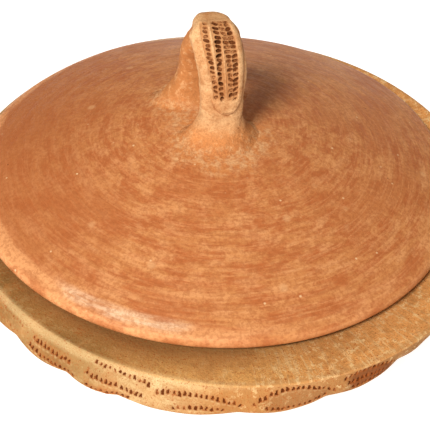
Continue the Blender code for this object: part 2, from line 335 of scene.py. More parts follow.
LEDGE_SLOPE_AT_CREST = 0.05
LEDGE_SLOPE_AT_INNER = 0.30
SIDE_REACH = 0.0008
WALL_RADIUS = 0.1400
LOBES = 24
LOBE_DIP = 0.0018
FRONT_NOTCHES = (-55.0, -40.1, -27.0, -16.5, 4.8, 21.0, 37.5, 51.5)
EVEN_LOBES = LOBES - len(FRONT_NOTCHES) + 1
EVEN_LOBE = (360.0 - FRONT_NOTCHES[-1] + FRONT_NOTCHES[0]) / EVEN_LOBES
SEAM_BELOW_CREST = 0.0013
BAND_RADIUS = 0.1545
BAND_COLUMNS = 2000
BAND_SIDE_ROWS = 36
BAND_UNDER_ROWS = 9
HIDDEN_DEPTH = 0.0030
HIDDEN_RISE = 0.0010
BAND_OVERLAP = 0.0010


def ledge_height(dish, radius):
    """The ledge falls inwards from the crest, and ever more steeply: a parabola."""
    inward = dish.crest_radius - radius
    span = dish.crest_radius - dish.ledge_inner_radius
    steepening = (LEDGE_SLOPE_AT_INNER - LEDGE_SLOPE_AT_CREST) / (2.0 * span)
    return dish.crest_height - LEDGE_SLOPE_AT_CREST * inward - steepening * inward ** 2


def dish_profile(dish):
    """Radius and height from the floor's middle up the inside, over the ledge and the
    crest, down the rim's side, in under it and down the wall to the base."""
    inner = dish.ledge_inner_radius
    ledge = inner + (dish.crest_radius - inner) * np.linspace(0.0, 0.94, 9)
    floor_edge = (0.0800, dish.floor_thickness)
    throat = (inner - 0.0035, ledge_height(dish, inner) - 0.0045)
    foot = (dish.crest_radius + SIDE_REACH, dish.crest_height - dish.side_drop)
    wall_top = (WALL_RADIUS, dish.underside - 0.0050)
    pieces = [
        np.array([(0.0, dish.floor_thickness), (0.060, dish.floor_thickness), floor_edge]),
        bowed(floor_edge, throat, -0.0105, 8),
        np.stack((ledge, ledge_height(dish, ledge)), axis=-1),
        np.array([(dish.crest_radius - 0.0002, dish.crest_height - 0.0002)]),
        np.array([(dish.crest_radius - 0.0001, dish.crest_height - 0.0016)]),
        bowed((dish.crest_radius + 0.0002, dish.crest_height - 0.0030), foot, 0.0005, 4),
        np.array([(foot[0] - 0.0035, foot[1] - 0.0030), (0.1465, dish.underside), wall_top]),
        bowed(wall_top, (dish.base_radius + 0.0040, 0.0012), 0.0065, 5),
        np.array([(dish.base_radius, 0.0), (dish.base_radius - 0.010, 0.0), (0.0, 0.0)]),
    ]
    return rounded(np.vstack(pieces), 3)


def lobe_turns(azimuth):
    """Whole numbers at the notches between lobes: uneven in front, even over the rest."""
    degrees = np.degrees(azimuth)
    front = np.interp(degrees, FRONT_NOTCHES, np.arange(len(FRONT_NOTCHES)))
    before = np.minimum(degrees - FRONT_NOTCHES[0], 0.0) / EVEN_LOBE
    return front + before + np.maximum(degrees - FRONT_NOTCHES[-1], 0.0) / EVEN_LOBE


def side_shift(azimuth):
    """How far the rim's side leans out, and how much deeper it is, by azimuth."""
    both_ways = np.cos(2.0 * (azimuth + math.radians(14.0)))
    lean = 0.0038 * np.cos(azimuth + math.radians(47.0)) + 0.0052 * both_ways - 0.0033
    return np.maximum(lean, -0.0066), 0.0025 * both_ways


def pressed_rim(dish, radius, height, azimuth):
    """Radius and height after the rim is pulled out of round and its side pressed in lobes.

    The whole rim moves by a sine of three waves; the side moves by the lean and by the
    lobes' sine squared raised to 0.3, faded in below the crest and out under the rim.
    """
    from_inner = eased(radius, dish.ledge_inner_radius, dish.crest_radius)
    down = eased(dish.crest_height - height, 0.0008, dish.side_drop)
    back = eased(height, dish.underside - 0.0030, dish.crest_height - dish.side_drop - 0.0010)
    in_zone = (radius > dish.ledge_inner_radius) & (height > dish.underside - 0.0060)
    on_side = np.where(in_zone & (radius > WALL_RADIUS), down * back, 0.0)
    sine = np.sin(math.pi * lobe_turns(azimuth))
    bulge = ((sine ** 2 + 0.03) / 1.03) ** 0.3
    lean, deeper = side_shift(azimuth)
    wobble = np.where(in_zone, from_inner, 0.0) * 0.0011 * np.sin(3.0 * azimuth)
    new_radius = radius + wobble + on_side * (lean + dish.lobe_bulge * bulge)
    return new_radius, height - on_side * (deeper + LOBE_DIP * bulge)


def seams(dish, line):
    """Lengths along the dish's profile at the crest, the upper seam, the rim's lower corner
    and the lower seam under the rim."""
    along = way_along(line)
    outer = (line[:, 0] > dish.crest_radius - 0.0010) & (line[:, 1] > dish.underside)
    crest = along[np.argmax(outer)]
    top = along[np.argmax(outer & (line[:, 1] < dish.crest_height - SEAM_BELOW_CREST))]
    low_edge = dish.crest_height - dish.side_drop
    corner = along[np.argmax((along > top) & (line[:, 1] < low_edge))]
    wall = along[np.argmax((along > corner) & (line[:, 0] < WALL_RADIUS + 0.0005))]
    return crest, top, corner, wall


def handmade(azimuth, radius):
    """Slow unevenness of the ledge, a sum of three waves of about a third of a millimetre."""
    waves = 0.20 * np.sin(5.0 * azimuth + 0.7) + 0.16 * np.sin(9.0 * azimuth + 60.0 * radius)
    return 0.001 * (waves + 0.10 * np.sin(14.0 * azimuth - 90.0 * radius))


def make_dish_body(dish):
    """The dish without its stamped band: the profile swept round, with the rim pressed.

    Behind the band the surface steps inwards and passes out of sight.
    """
    line = dish_profile(dish)
    crest, top, _, wall = seams(dish, line)
    total = way_along(line)[-1]
    inside, ledge = np.linspace(0.0, crest - 0.032, 26)[1:], np.linspace(crest - 0.0315, crest, 34)
    before = np.concatenate((inside, ledge, np.linspace(crest, top, 9)[1:]))
    after = np.linspace(wall, total, 28)[:-1]
    azimuth = azimuths(dish.columns)[None, :]
    upper, lower = points_at(line, before), points_at(line, after)
    up_r, up_z = pressed_rim(dish, upper[:, :1], upper[:, 1:], azimuth)
    low_r, low_z = pressed_rim(dish, lower[:, :1], lower[:, 1:], azimuth)
    on_ledge = eased(upper[:, :1], 0.128, 0.134) * eased(dish.crest_height - upper[:, 1:], -0.001, 0.0006)
    fade = 1.0 - eased(upper[:, :1], dish.crest_radius - 0.003, dish.crest_radius)
    up_z = up_z + on_ledge * fade * handmade(azimuth, upper[:, :1])
    radius = np.vstack((up_r, up_r[-1:] - HIDDEN_DEPTH, low_r[:1] - HIDDEN_DEPTH, low_r))
    grid = around(radius, azimuth, np.vstack((up_z, up_z[-1:], low_z[:1] + HIDDEN_RISE, low_z)))
    seam_row = len(before) - 1
    mesh = skin("dish_body", grid, first_pole=(0.0, 0.0, dish.floor_thickness), last_pole=(0.0, 0.0, 0.0),
                sharp_rows=(seam_row, seam_row + 3))
    piece = place(mesh, dish_clay(dish, "buff_clay_body"))
    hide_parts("dish")


# Groups of stamped marks, one a lobe: how hard the clay is pressed between the rows, the
# marks' size, and the rows, each with the degrees where it starts and ends, its share of
# the side's height there, its bow and its strength.
FRONT_GROUPS = (
    (0.2, 0.60, ((-48.0, -38.5, 0.30, 0.46, 0.00, 0.3), (-46.2, -39.5, 0.62, 0.72, 0.00, 0.3))),
    (0.3, 0.80, ((-36.0, -26.4, 0.46, 0.56, 0.00, 1.2), (-36.4, -25.2, 0.68, 0.84, 0.02, 1.1))),
    (0.25, 0.78, ((-22.2, -10.7, 0.22, 0.36, 0.00, 0.8), (-23.4, -11.8, 0.53, 0.66, 0.02, 1.1),
                 (-23.0, -14.2, 0.86, 0.86, 0.02, 2.2))),
    (0.35, 0.78, ((-10.0, 5.6, 0.48, 0.68, -0.16, 1.2), (-6.9, 2.6, 0.78, 0.80, -0.08, 1.0))),
    (1.0, 0.84, ((7.1, 23.0, 0.66, 0.74, -0.45, 1.2), (9.4, 21.1, 0.75, 0.75, 0.08, 0.8))),
    (3.0, 0.88, ((24.2, 36.2, 0.34, 0.60, -0.28, 1.4), (24.9, 35.6, 0.54, 0.72, -0.10, 1.4),
                 (26.0, 33.6, 0.76, 0.84, 0.00, 1.4))),
    (0.8, 0.85, ((37.2, 41.6, 0.55, 0.45, 0.00, 0.9), (42.2, 48.2, 0.40, 0.70, -0.10, 0.7))),
)
MARK_PITCH = 0.0026


def stamp_groups():
    """The groups in front, and two rows on each of the even lobes round the rest."""
    groups = list(FRONT_GROUPS)
    for number in range(EVEN_LOBES):
        start, drift = FRONT_NOTCHES[-1] + EVEN_LOBE * number, 0.06 * float(scatter(number + 1.0, 3.0))
        groups.append((0.5, 0.85, (
            (start + 0.08 * EVEN_LOBE, start + 0.94 * EVEN_LOBE, 0.50 + drift, 0.62 + drift, -0.26, 1.0),
            (start + 0.16 * EVEN_LOBE, start + 0.86 * EVEN_LOBE, 0.68 + drift, 0.74 + drift, 0.06, 0.8))))
    return groups


def wedge(x, y):
    """One stamped mark: a triangle 2 mm wide below and pointed above, 1.9 mm tall, deepest
    along its middle. x and y are millimetres from its centre, y downwards."""
    reach = np.clip(0.55 + 0.40 * (y + 0.9), 0.05, 1.20)
    inside = np.clip(1.9 * (1.0 - np.abs(x) / reach), 0.0, 1.0)
    return inside * eased(y, -1.25, -0.62) * eased(-y, -1.20, -0.70)


def stamped_marks(azimuth, share, height):
    """How deep the band is marked, how much it is pressed in between two rows, how near a
    row is, and the raised lip under each mark. Each row counts its marks along its way and
    shifts each a little."""
    degrees = np.degrees(azimuth[0])
    mark = np.zeros_like(share * azimuth)
    pressed, near, lip = np.zeros_like(mark), np.zeros_like(mark), np.zeros_like(mark)
    for number, (press, mark_size, rows) in enumerate(stamp_groups()):
        first, last = min(row[0] for row in rows), max(row[1] for row in rows)
        past = (degrees - first + 180.0) % 360.0 - 180.0
        columns = np.nonzero((past > -2.0) & (past < last - first + 2.0))[0]
        middles = []
        for order, (start, end, share_a, share_b, bow, strength) in enumerate(rows):
            t = ((past[columns] + first - start) / (end - start))[None, :]
            middle = share_a + (share_b - share_a) * t + 4.0 * bow * t * (1.0 - t)
            length = BAND_RADIUS * math.radians(end - start)
            count = max(round(length / MARK_PITCH), 2)
            which = np.floor(t * count)
            salt = number * 7.0 + order
            x = (t * count - which - 0.5) * 1000.0 * length / count
            x = x + 0.30 * scatter(which, salt) + 0.15 * np.sin(43.4 * share + which)
            y = 1000.0 * height[:, columns] * (share - middle) + 0.30 * scatter(which, salt + 40.0)
            size = mark_size * (1.0 + 0.18 * scatter(which, salt + 80.0))
            slant = 0.30 * scatter(which, salt + 120.0) + 0.12
            force = np.clip(strength * (0.80 + 0.35 * scatter(which, salt + 160.0)), 0.2, 1.2)
            on_row = (t > 0.0) & (t < 1.0)
            shape = wedge((x + slant * y) / size, y / size) * force * on_row
            raised = np.exp(-((y / size - 1.55) / 0.40) ** 2 - (x / 0.9) ** 2) * force * on_row
            raised = raised * max(1.0 - 0.5 * press, 0.0)
            smear = strength * np.exp(-(y / 1.7) ** 2) * hump(t, (-0.03, 0.06), (0.94, 1.03))
            for layer, value in ((mark, shape), (lip, raised), (near, smear)):
                layer[:, columns] = np.maximum(layer[:, columns], value)
            middles.append((t, middle))
        inner = 1.0 - eased(np.abs(middles[0][0] - 0.52), 0.28, 0.50)
        below_first = eased(share, middles[0][1] - 0.02, middles[0][1] + 0.10)
        above_last = 1.0 - eased(share, middles[-1][1] - 0.02, middles[-1][1] + 0.12)
        pressed[:, columns] = np.maximum(pressed[:, columns], press * inner * below_first * above_last)
    return mark, pressed, near, lip * (1.0 - np.clip(2.0 * mark, 0.0, 1.0))


def fine_groove(azimuth, share, height):
    """A tool line scored about a millimetre and a half below the crest, on parts of the way."""
    degrees = np.degrees(azimuth)
    left = hump(degrees, (-4.5, -3.0), (1.2, 2.8))
    right = hump(degrees, (8.0, 10.5), (24.0, 27.0))
    rear = eased(np.sin(3.0 * azimuth + 1.0), 0.55, 0.75) * eased(np.abs(degrees), 45.0, 60.0)
    below = 1000.0 * height * share - 1.9 - 0.35 * np.sin(9.0 * azimuth + 1.3)
    return np.maximum(np.maximum(left, right), 0.7 * rear) * np.exp(-(below / 0.45) ** 2)


def make_stamped_band(dish):
    """The rim's side and underside as a closed ring, its outer skin marked by the stamp."""
    line = dish_profile(dish)
    crest, top, corner, wall = seams(dish, line)
    ways = np.concatenate((np.linspace(top, corner + 0.0015, BAND_SIDE_ROWS),
                           np.linspace(corner + 0.0025, wall, BAND_UNDER_ROWS)))
    profile = points_at(line, ways)
    azimuth = azimuths(BAND_COLUMNS)[None, :]
    radius, height = pressed_rim(dish, profile[:, :1], profile[:, 1:], azimuth)
    outer = around(radius, azimuth, height)
    _, deeper = side_shift(azimuth)
    side_height = dish.side_drop + deeper + 0.8 * LOBE_DIP
    share = ((ways - crest) / (corner - crest))[:, None]
    mark, pressed, near, lip = stamped_marks(azimuth, share, side_height)
    groove = fine_groove(azimuth, share, side_height)
    on_skin = hump(ways, (top, top + 0.0006), (wall - 0.004, wall))
    depth = dish.punch_depth * mark + 0.00022 * np.minimum(pressed, 1.5) + 0.00040 * groove - 0.00016 * lip
    depth = depth + 0.00012 * np.sin(31.0 * azimuth + 5.0 * share) * np.sin(17.0 * azimuth - 9.0 * share)
    marked = pushed(outer, depth * on_skin[:, None])
    inner_r = radius[(-1, BAND_UNDER_ROWS + 6, 0), :] - HIDDEN_DEPTH - BAND_OVERLAP
    inner_z = height[(-1, BAND_UNDER_ROWS + 6, 0), :] + np.array((HIDDEN_RISE, 0.0, 0.0))[:, None]
    grid = np.concatenate((marked, around(inner_r, azimuth, inner_z)), axis=0)
    stain_and_shade = np.clip(1.3 * mark + 0.22 * groove, 0.0, 1.0)
    numbers = {"mark": stain_and_shade, "pressed": pressed, "near": near, "lip": lip}
    values = {label: np.pad(layer, ((0, 3), (0, 0))) for label, layer in numbers.items()}
    mesh = skin("stamped_band", grid, rows_closed=True, sharp_rows=(0, len(ways) - 1, -1, -3), values=values)
    place(mesh, dish_clay(dish, "buff_clay_stamped"))


# The lid

def dome_height(lid, radius):
    """The dome's outer face above the lid's lower edge: a power of 1.5 from the apex."""
    share = np.minimum(radius / lid.shoulder_radius, 1.0)
    return lid.dome_height - (lid.dome_height - lid.shoulder_height) * share ** 1.5


def lid_profile(lid):
    """From the apex down the dome, round the lip and back under the dome to the middle."""
    out = np.linspace(0.0, lid.shoulder_radius, 24)
    back = np.linspace(0.1240, 0.0, 14)
    edge = lid.radius
    lip = np.array([(edge - 0.0012, 0.0064), (edge, 0.0044), (edge + 0.0002, 0.0020),
                    (edge - 0.0014, 0.0002), (edge - 0.0040, 0.0), (edge - 0.0078, 0.0004)])
    pieces = (np.stack((out, dome_height(lid, out)), axis=-1), lip,
              np.stack((back, dome_height(lid, back) - lid.thickness), axis=-1))
    return rounded(np.vstack(pieces), 3)


def edge_scale(azimuth):
    """How far the lid's edge is out of round, as a share of its radius."""
    away = np.abs(azimuth)
    front = -0.0055 * (np.cos(3.0 * azimuth) - 1.0) * (1.0 - eased(away, 1.4, 2.1))
    rear = 0.030 * np.sin(azimuth) * eased(away, 1.75, 2.5)
    return front + rear


def make_lid_dome(lid, handle):
    """The lid's dome, lip and underside, swept round and pulled a little out of true."""
    line = lid_profile(lid)
    along = way_along(line)
    edge_way = along[np.argmax(line[:, 0])]
    dome = np.linspace(0.0, edge_way - 0.014, 60)[1:]
    lip = np.linspace(edge_way - 0.0135, edge_way + 0.012, 32)
    ways = np.concatenate((dome, lip, np.linspace(edge_way + 0.014, along[-1], 16)[:-1]))
    profile = points_at(line, ways)
    azimuth = azimuths(lid.columns)[None, :]
    radius, height = profile[:, :1], profile[:, 1:]
    outward = eased(radius, 0.05, lid.radius)
    new_radius = radius * (1.0 + outward * edge_scale(azimuth))
    waves = 0.30 * np.sin(4.0 * azimuth + 0.5) + 0.20 * np.sin(7.0 * azimuth + 45.0 * radius)
    rings = 0.07 * np.sin(760.0 * radius + 1.5 * np.sin(2.0 * azimuth)) * (1.0 - eased(radius, 0.128, 0.134))
    upper = (np.arange(len(ways)) <= len(dome) + len(lip) // 2)[:, None]
    lift = 0.001 * np.where(upper, outward * waves + eased(radius, 0.03, 0.06) * rings, 0.0)
    clear = eased(height, 0.0012, 0.0060)
    grid = around(new_radius, azimuth, LID_BASE + height + lift * clear, LID_CENTRE)
    top = (*LID_CENTRE, LID_BASE + lid.dome_height)
    under = (*LID_CENTRE, LID_BASE + lid.dome_height - lid.thickness)
    mesh = skin("lid_dome", grid, first_pole=top, last_pole=under)
    piece = place(mesh, lid_clay(lid, handle, "red_clay_burnished"))
    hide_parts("lid")


# The strap handle, in its own directions: along from front to rear, across, height

FRONT_PATH = ((-0.0165, 0.0530), (-0.0175, 0.0820), (-0.0180, 0.1022), (-0.0065, 0.1022))
REAR_PATH = ((-0.0065, 0.1022), (0.0020, 0.1022), (0.0205, 0.0840), (0.0232, 0.0600))
FOOT_SPREAD_FRONT = (0.0125, 0.0120)
FOOT_SPREAD_REAR = (0.0185, 0.0110)
FOOT_SINK = 0.0003
STRAP_ROWS = 260
STRAP_COLUMNS = 200
FOOT_ROWS = 50
STRAP_LEVEL = 0.1066
# The powers of cosine and sine that make the strap's section a rounded oblong
ACROSS_POWER = 0.62
THROUGH_POWER = 0.72


def cubic(points, t):
    """Points of a cubic curve with four control points."""
    weights = np.stack(((1 - t) ** 3, 3 * (1 - t) ** 2 * t, 3 * (1 - t) * t * t, t ** 3), axis=-1)
    return weights @ np.array(points)


def arch_point(share):
    """The strap's middle line: upright in front, a tight bend at the top, a slope behind."""
    front = cubic(FRONT_PATH, np.clip(2.0 * share, 0.0, 1.0))
    rear = cubic(REAR_PATH, np.clip(2.0 * share - 1.0, 0.0, 1.0))
    return np.where(share[..., None] < 0.5, front, rear)


def arch_run(share):
    """The direction of the strap's middle line, of length one."""
    run = arch_point(np.minimum(share + 0.01, 1.0)) - arch_point(np.maximum(share - 0.01, 0.0))
    return run / np.linalg.norm(run, axis=-1, keepdims=True)


def pinch(share):
    """1 where the rear leg is pinched narrower, 0 away from there."""
    return hump(share, (0.59, 0.78), (0.78, 0.92))


def strap_width(handle, share):
    """Broad where the stamped panel lies, narrow over the top and down the rear leg."""
    panel = handle.neck_width + (handle.width - handle.neck_width) * eased(share, 0.05, 0.22)
    top = panel + (handle.top_width - handle.width) * eased(share, 0.40, 0.52)
    return top + (handle.neck_width - handle.top_width) * eased(share, 0.55, 1.0) - 0.0040 * pinch(share)


def strap_thickness(handle, share):
    """Thinnest over the top, and thicker in proportion to the way from there."""
    return handle.top_thickness + (handle.leg_thickness - handle.top_thickness) * np.abs(2.0 * share - 1.0)


def strap_lean(share):
    """How far the strap's middle stands to the side, because the handle leans."""
    front = -0.0025 - 0.0047 * eased(share, 0.10, 0.45)
    return front - 0.0008 * eased(share, 0.55, 1.0) + 0.0013 * pinch(share)


def handle_points(handle, along, across, height):
    """From the handle's own directions to the part's frame: a turn about Z."""
    sine, cosine = math.sin(handle.turn), math.cos(handle.turn)
    x = LID_CENTRE[0] - along * sine + across * cosine
    y = LID_CENTRE[1] + along * cosine + across * sine
    return np.stack(np.broadcast_arrays(x, y, LID_BASE + height), axis=-1)


def rounded_oblong(angle, round_off=0.0):
    """Across and through, -1 to 1, of a rounded oblong: powers of cosine and sine, which
    grow to 1, an ellipse, with round_off."""
    c, s = np.cos(angle), np.sin(angle)
    wide = ACROSS_POWER + (1.0 - ACROSS_POWER) * round_off
    deep = THROUGH_POWER + (1.0 - THROUGH_POWER) * round_off
    return np.sign(c) * np.abs(c) ** wide, np.sign(s) * np.abs(s) ** deep


def foot_rows(handle, lid, end, spread, flip, shares, angle):
    """Rings of a foot from the neck (0) down a hollow flare to the dome (1).

    The ring widens by (1 - cos)^0.75 of a quarter turn while its height falls by the sine,
    so the flare leaves the leg upright and meets the dome lying flat.
    """
    neck, lean = arch_point(np.array(end)), strap_lean(end)
    turn = 0.5 * math.pi * shares[:, None]
    flare = (1.0 - np.cos(turn)) ** 0.75
    across, through = rounded_oblong(angle, eased(shares[:, None], 0.0, 0.75))
    uneven = 1.0 + 0.10 * np.sin(2.0 * angle + 1.0) + 0.07 * np.sin(3.0 * angle + neck[0] * 400.0)
    side = lean + 0.5 * (handle.neck_width + 2.0 * spread[0] * flare * uneven) * across
    depth = neck[0] + flip * 0.5 * (handle.leg_thickness + 2.0 * spread[1] * flare * uneven) * through
    surface = dome_height(lid, np.hypot(depth, side)) - FOOT_SINK
    height = neck[1] + (surface - neck[1]) * np.sin(turn)
    return handle_points(handle, depth, side, height)


def strap_surface(share, across, through):
    """Points at an offset from the strap's middle line, square to it."""
    middle, run = arch_point(share), arch_run(share)
    along = middle[..., 0] + through * run[..., 1]
    height = middle[..., 1] - through * run[..., 0]
    return along, strap_lean(share) + across, height


def under_panel(share, across):
    """1 where the panel covers the strap, and 1 in the crease around it: from the distance
    to the panel's outline, taken across the strap and along it."""
    left, right = panel_sides(share)
    inside = np.minimum(across - left, right - across)
    ends = np.minimum(share - PANEL_EDGES[0][0], PANEL_EDGES[-1][0] - share) * PANEL_LENGTH_A_SHARE
    inside = np.minimum(inside, ends)
    at_right = np.maximum(eased(across - left, 0.006, 0.012), 1.0 - eased(share, 0.05, 0.10))
    return eased(inside, 0.0002, 0.0012), at_right * np.exp(-((inside + 0.0003) / 0.0006) ** 2)


def make_handle_strap(handle, lid):
    """The strap as rings along its path, with a flared foot at each end and a top that is
    flattened: heights above a level are drawn down to a sixth."""
    angle = 2.0 * math.pi * (np.arange(STRAP_COLUMNS) + 0.5)[None, :] / STRAP_COLUMNS
    share = np.linspace(0.0, 1.0, STRAP_ROWS)[:, None]
    across, through = rounded_oblong(angle)
    half_width, half_depth = 0.5 * strap_width(handle, share), 0.5 * strap_thickness(handle, share)
    covered, crease = under_panel(share, half_width * across)
    covered, crease = covered * (through < 0.0), crease * eased(-through, 0.0, 0.3)
    sunk = 0.0016 * covered + 0.0005 * crease
    along, side, height = strap_surface(share, half_width * across, half_depth * through + sunk)
    height = np.where(height > STRAP_LEVEL, STRAP_LEVEL + (height - STRAP_LEVEL) / 6.0, height)
    arch = handle_points(handle, along, side, height)
    shares = np.linspace(0.02, 1.0, FOOT_ROWS)
    front = foot_rows(handle, lid, 0.0, FOOT_SPREAD_FRONT, 1.0, shares[::-1], angle)
    rear = foot_rows(handle, lid, 1.0, FOOT_SPREAD_REAR, -1.0, shares, angle)
    grid = np.concatenate((front, arch, rear), axis=0)
    z = grid[..., 2]
    lumps = 0.00020 * np.sin(230.0 * z + 3.0 * angle) + 0.00012 * np.sin(410.0 * z - 5.0 * angle)
    grid = pushed(grid, lumps + 0.00008 * np.sin(1300.0 * z + 600.0 * grid[..., 0]))
    below = (0.0, 0.0, -HIDDEN_DEPTH)
    onto_dome = np.concatenate((shares[::-1], 0.0 * share[:, 0], shares))[:, None]
    crease = np.pad(crease, ((FOOT_ROWS, FOOT_ROWS), (0, 0)))
    first, last = front[0].mean(axis=0) + below, rear[-1].mean(axis=0) + below
    mesh = skin("handle_strap", grid, first_pole=first, last_pole=last,
                values={"onto_dome": onto_dome, "crease": crease})
    place(mesh, handle_clay(handle, lid, "red_clay_handle"))


# The panel's outline: the share of the strap's way, and its left and right sides there
PANEL_EDGES = (
    (0.022, 0.0016, 0.0026), (0.030, -0.0012, 0.0046), (0.050, -0.0042, 0.0079), (0.079, -0.0061, 0.0098),
    (0.151, -0.0072, 0.0101), (0.229, -0.0084, 0.0113), (0.311, -0.0090, 0.0123), (0.370, -0.0092, 0.0125),
    (0.435, -0.0089, 0.0104), (0.486, -0.0082, 0.0084),
)
PANEL_LENGTH_A_SHARE = 0.111
PANEL_ROWS = 320
PANEL_COLUMNS = 150
PANEL_BACK_COLUMNS = 24
PANEL_SINK = 0.0022
PANEL_LEVEL = 0.1072
PUNCHES_DOWN = 21


def panel_sides(share):
    """The panel's left and right sides at a share of the strap's way."""
    shares, left, right = np.array(PANEL_EDGES).T
    return np.interp(share, shares, left), np.interp(share, shares, right)


def punched_column(u, way, at, width, salt, shift=0.0):
    """A column of punches down the panel at the share at across it: rounded squares."""
    counted = way * PUNCHES_DOWN + shift
    which = np.floor(counted)
    bend = 0.26 * scatter(which, salt + 5.0) * (u - at) / width
    y = counted - which - 0.5 + 0.10 * scatter(which, salt) + bend
    y = y / (0.45 + 0.06 * scatter(which, salt + 3.0))
    x = (u - at + 0.030 * scatter(which, salt + 9.0)) / (width * (1.0 + 0.16 * scatter(which, salt + 13.0)))
    shape = np.clip(2.2 - 2.2 * (np.abs(x) ** 2.6 + np.abs(y) ** 2.2), 0.0, 1.0)
    return shape * (0.74 + 0.26 * scatter(which, salt + 17.0))


def ridge(u, at, width):
    """A bell curve: e to the minus square of the distance over the width."""
    return np.exp(-((u - at) / width) ** 2)


def make_stamped_panel(handle, lid):
    """A leaf-shaped strip laid on the strap's front: a smooth right edge, two upright ridges
    and four columns of punches. Rings run along it, over its face and back inside the strap."""
    way = np.linspace(0.0, 1.0, PANEL_ROWS + 2)[1:-1, None]
    tip, top = PANEL_EDGES[0][0], PANEL_EDGES[-1][0]
    share = tip + (top - tip) * way
    left, right = panel_sides(share)
    middle, half = 0.5 * (left + right), 0.5 * (right - left)
    face = np.sin(0.5 * math.pi * np.linspace(-1.0, 1.0, PANEL_COLUMNS))[None, :]
    face = 0.35 * face + 0.65 * np.linspace(-1.0, 1.0, PANEL_COLUMNS)[None, :]
    back = np.linspace(0.97, -0.97, PANEL_BACK_COLUMNS)[None, :]
    strap_half = 0.5 * strap_width(handle, share)
    strap_deep = 0.5 * strap_thickness(handle, share)

    def strap_front(across):
        """The strap's half thickness at an offset across, from the oblong's own powers."""
        cosine = np.clip(np.abs(across) / strap_half, 0.0, 0.97) ** (1.0 / ACROSS_POWER)
        return strap_deep * np.sqrt(1.0 - cosine ** 2) ** THROUGH_POWER

    edge = eased(face, -1.04, -0.62) * np.clip(1.0 - np.abs(face) ** 9, 0.0, 1.0) ** 0.45
    ends = hump(way, (0.0, 0.04), (0.965, 1.0))
    field = hump(face, (-0.97, -0.90), (0.62, 0.74)) * hump(way, (0.12, 0.17), (0.93, 0.97))
    first_at = np.interp(way, (0.34, 0.60, 0.78, 1.0), (-0.58, -0.51, -0.46, -0.42))
    first = ridge(face, first_at, 0.07) * eased(way, 0.30, 0.42)
    second_at = np.interp(way, (0.34, 0.60, 0.78), (-0.10, -0.02, 0.02))
    ridges = np.maximum(first, 0.75 * ridge(face, second_at, 0.035) * (1.0 - eased(way, 0.60, 0.75)))
    edge_at = np.interp(way, (0.3, 1.0), (-0.76, -0.66))
    deep_at = np.interp(way, (0.18, 0.34, 0.60, 0.78, 1.0), (-0.36, -0.40, -0.25, -0.14, -0.10))
    rows = field * np.maximum.reduce((
        punched_column(face, way, edge_at, 0.14, 1.0),
        1.3 * punched_column(face, way, deep_at, 0.155, 2.0, 0.3),
        0.95 * punched_column(face, way + 0.034 * face, 0.19, 0.165, 3.0, 0.5),
        punched_column(face, way - 0.034 * face, 0.50, 0.165, 4.0)))
    ragged = 1.0 + 0.10 * np.sin(61.0 * face + 130.0 * way) * np.sin(90.0 * way - 23.0 * face)
    dip = 0.00040 * field * (1.0 - ridges) * ragged + 0.00140 * rows * (1.0 - 0.7 * ridges)
    lift = edge * ends * handle.panel_lift - dip
    across = middle + half * face
    through = -(strap_front(across) + lift)
    hidden_across = middle + half * back
    hidden = -(strap_front(hidden_across) - PANEL_SINK)
    points = strap_surface(share + 0.0 * face, across, through)
    inside = strap_surface(share + 0.0 * back, hidden_across, hidden)
    grid = np.concatenate((handle_points(handle, *points), handle_points(handle, *inside)), axis=1)
    level = LID_BASE + PANEL_LEVEL
    grid[..., 2] = np.where(grid[..., 2] > level, level + (grid[..., 2] - level) / 8.0, grid[..., 2])
    values = {"mark": rows * (1.0 - ridges), "pressed": field * (1.0 - ridges)}
    values = {label: np.pad(layer, ((0, 0), (0, PANEL_BACK_COLUMNS))) for label, layer in values.items()}
    mesh = skin("stamped_panel", grid, first_pole=grid[0].mean(axis=0), last_pole=grid[-1].mean(axis=0),
                values=values)
    place(mesh, handle_clay(handle, lid, "red_clay_panel"))


# Clay finishes

# Brown laid over the field pressed between rows of marks: partly darker clay, partly painted shade in the
# hollow
PRESSED_BROWN = (0.210, 0.076, 0.024)
# The pale of a painted highlight on the lid's shoulder at the front left
PAINTED_HIGHLIGHT_PALE = (0.80, 0.60, 0.42)
GRIT = (0.80, 0.56, 0.33)
COARSE_GRIT = (0.72, 0.42, 0.21)
PINHOLE = (0.09, 0.03, 0.012)
SMEAR_REACH = 0.0200


def tinted(color, gain):
    """A plain colour made lighter or darker."""
    return tuple(min(channel * gain, 1.0) for channel in color)


